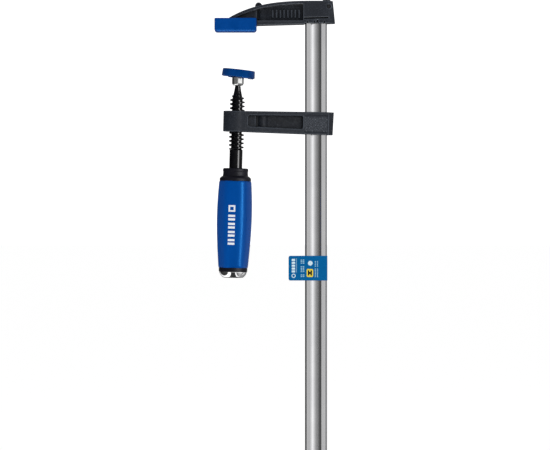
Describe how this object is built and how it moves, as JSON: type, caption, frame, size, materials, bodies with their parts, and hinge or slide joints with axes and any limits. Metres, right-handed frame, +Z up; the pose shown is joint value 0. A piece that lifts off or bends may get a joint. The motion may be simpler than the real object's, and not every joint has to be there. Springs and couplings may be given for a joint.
{
  "type": "f clamp",
  "caption": "F clamp with a grooved steel bar, a cast fixed jaw, and a sliding arm whose screw has a swivel pad and a barrel grip.",
  "frame": {"origin": "centre of the bar's lower end face", "axes": "+Z up along the bar, jaws reach towards -X, Y is the clamp's thickness"},
  "size_m": [0.0882, 0.0242, 0.342],
  "materials": {
    "bright_steel": "bright drawn",
    "pin_steel": "dark oiled steel",
    "cast_grey": "matte powder coat on a rough casting",
    "black_steel": "glossy blackened",
    "zinc": "bright zinc plate",
    "blue_cap": "soft satin",
    "blue_grip": "satin gloss",
    "black_plastic": "satin",
    "chrome": "polished",
    "tag_blue": "laminated print"
  },
  "bodies": {
    "bar_and_fixed_jaw": {"guide_bar": "bright_steel", "bar_stop_pin": "pin_steel", "fixed_jaw": "cast_grey", "fixed_jaw_pin": "pin_steel", "fixed_jaw_cap": "blue_cap", "bar_tag": "tag_blue"},
    "arm": {"sliding_arm": "cast_grey"},
    "swivel": {"swivel_ferrule": "zinc"},
    "spindle_and_handle": {"spindle": "black_steel", "handle_core": "black_plastic", "handle_grip": "blue_grip", "handle_end_cap": "chrome", "handle_screw": "pin_steel", "handle_washer": "bright_steel"},
    "pad": {"pad_ball_stud": "zinc", "pad_plate": "bright_steel", "pad_cap": "blue_cap"}
  },
  "joints": [
    {"name": "arm_slide", "type": "slide", "parent": "bar_and_fixed_jaw", "child": "arm", "axis": [0, 0, 1], "range_m": [-0.234, 0.0115], "deforming": ["bar_tag"]},
    {"name": "spindle_feed", "type": "slide", "parent": "arm", "child": "swivel", "axis": [0.0262, 0, 0.9997], "range_m": [-0.0185, 0.0125]},
    {"name": "spindle_turn", "type": "hinge", "parent": "swivel", "child": "spindle_and_handle", "pos_m": [-0.05788, 0, 0.25312], "axis": [0.0262, 0, 0.9997], "range_deg": [-2160, 1440]},
    {"name": "pad_tilt", "type": "hinge", "parent": "swivel", "child": "pad", "pos_m": [-0.05705, 0, 0.285], "axis": [0, 1, 0], "range_deg": [-17.9, 8.1]}
  ],
  "couplings": [
    {"joint": "spindle_feed", "follows": "spindle_turn", "m_per_rad": 0.00047746}
  ]
}
